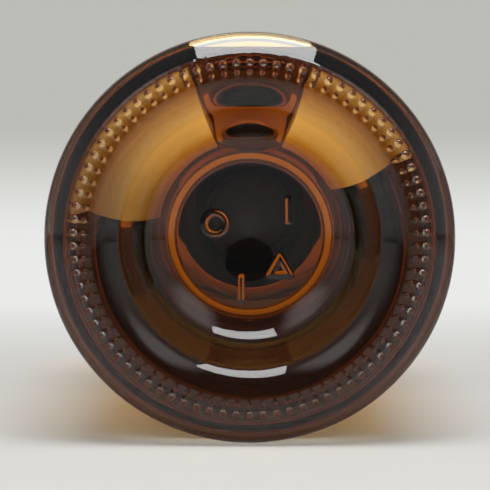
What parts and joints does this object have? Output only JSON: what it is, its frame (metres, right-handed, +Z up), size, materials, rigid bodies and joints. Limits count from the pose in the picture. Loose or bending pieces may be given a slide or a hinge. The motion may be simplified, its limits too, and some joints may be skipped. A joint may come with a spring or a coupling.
{
  "type": "whisky bottle",
  "caption": "Full round bottle of clear glass lying on its side, with amber whisky, a ribbed foot, a pushed-up base, wrap-round labels and a neck capsule.",
  "frame": {"origin": "on the surface the bottle lies on, under the middle of its length and width", "axes": "+Z up; the bottle's axis runs along Y, with the base at the -Y end and the capsule at the +Y end"},
  "size_m": [0.08, 0.2594, 0.0799],
  "materials": {
    "clear_glass": "gloss",
    "drink": "gloss",
    "front_paper": "matte",
    "back_paper": "matte",
    "capsule": "satin"
  },
  "bodies": {
    "root": {"bottle_glass": "clear_glass", "whisky": "drink", "front_label": "front_paper", "back_label": "back_paper", "capsule": "capsule"}
  },
  "joints": []
}
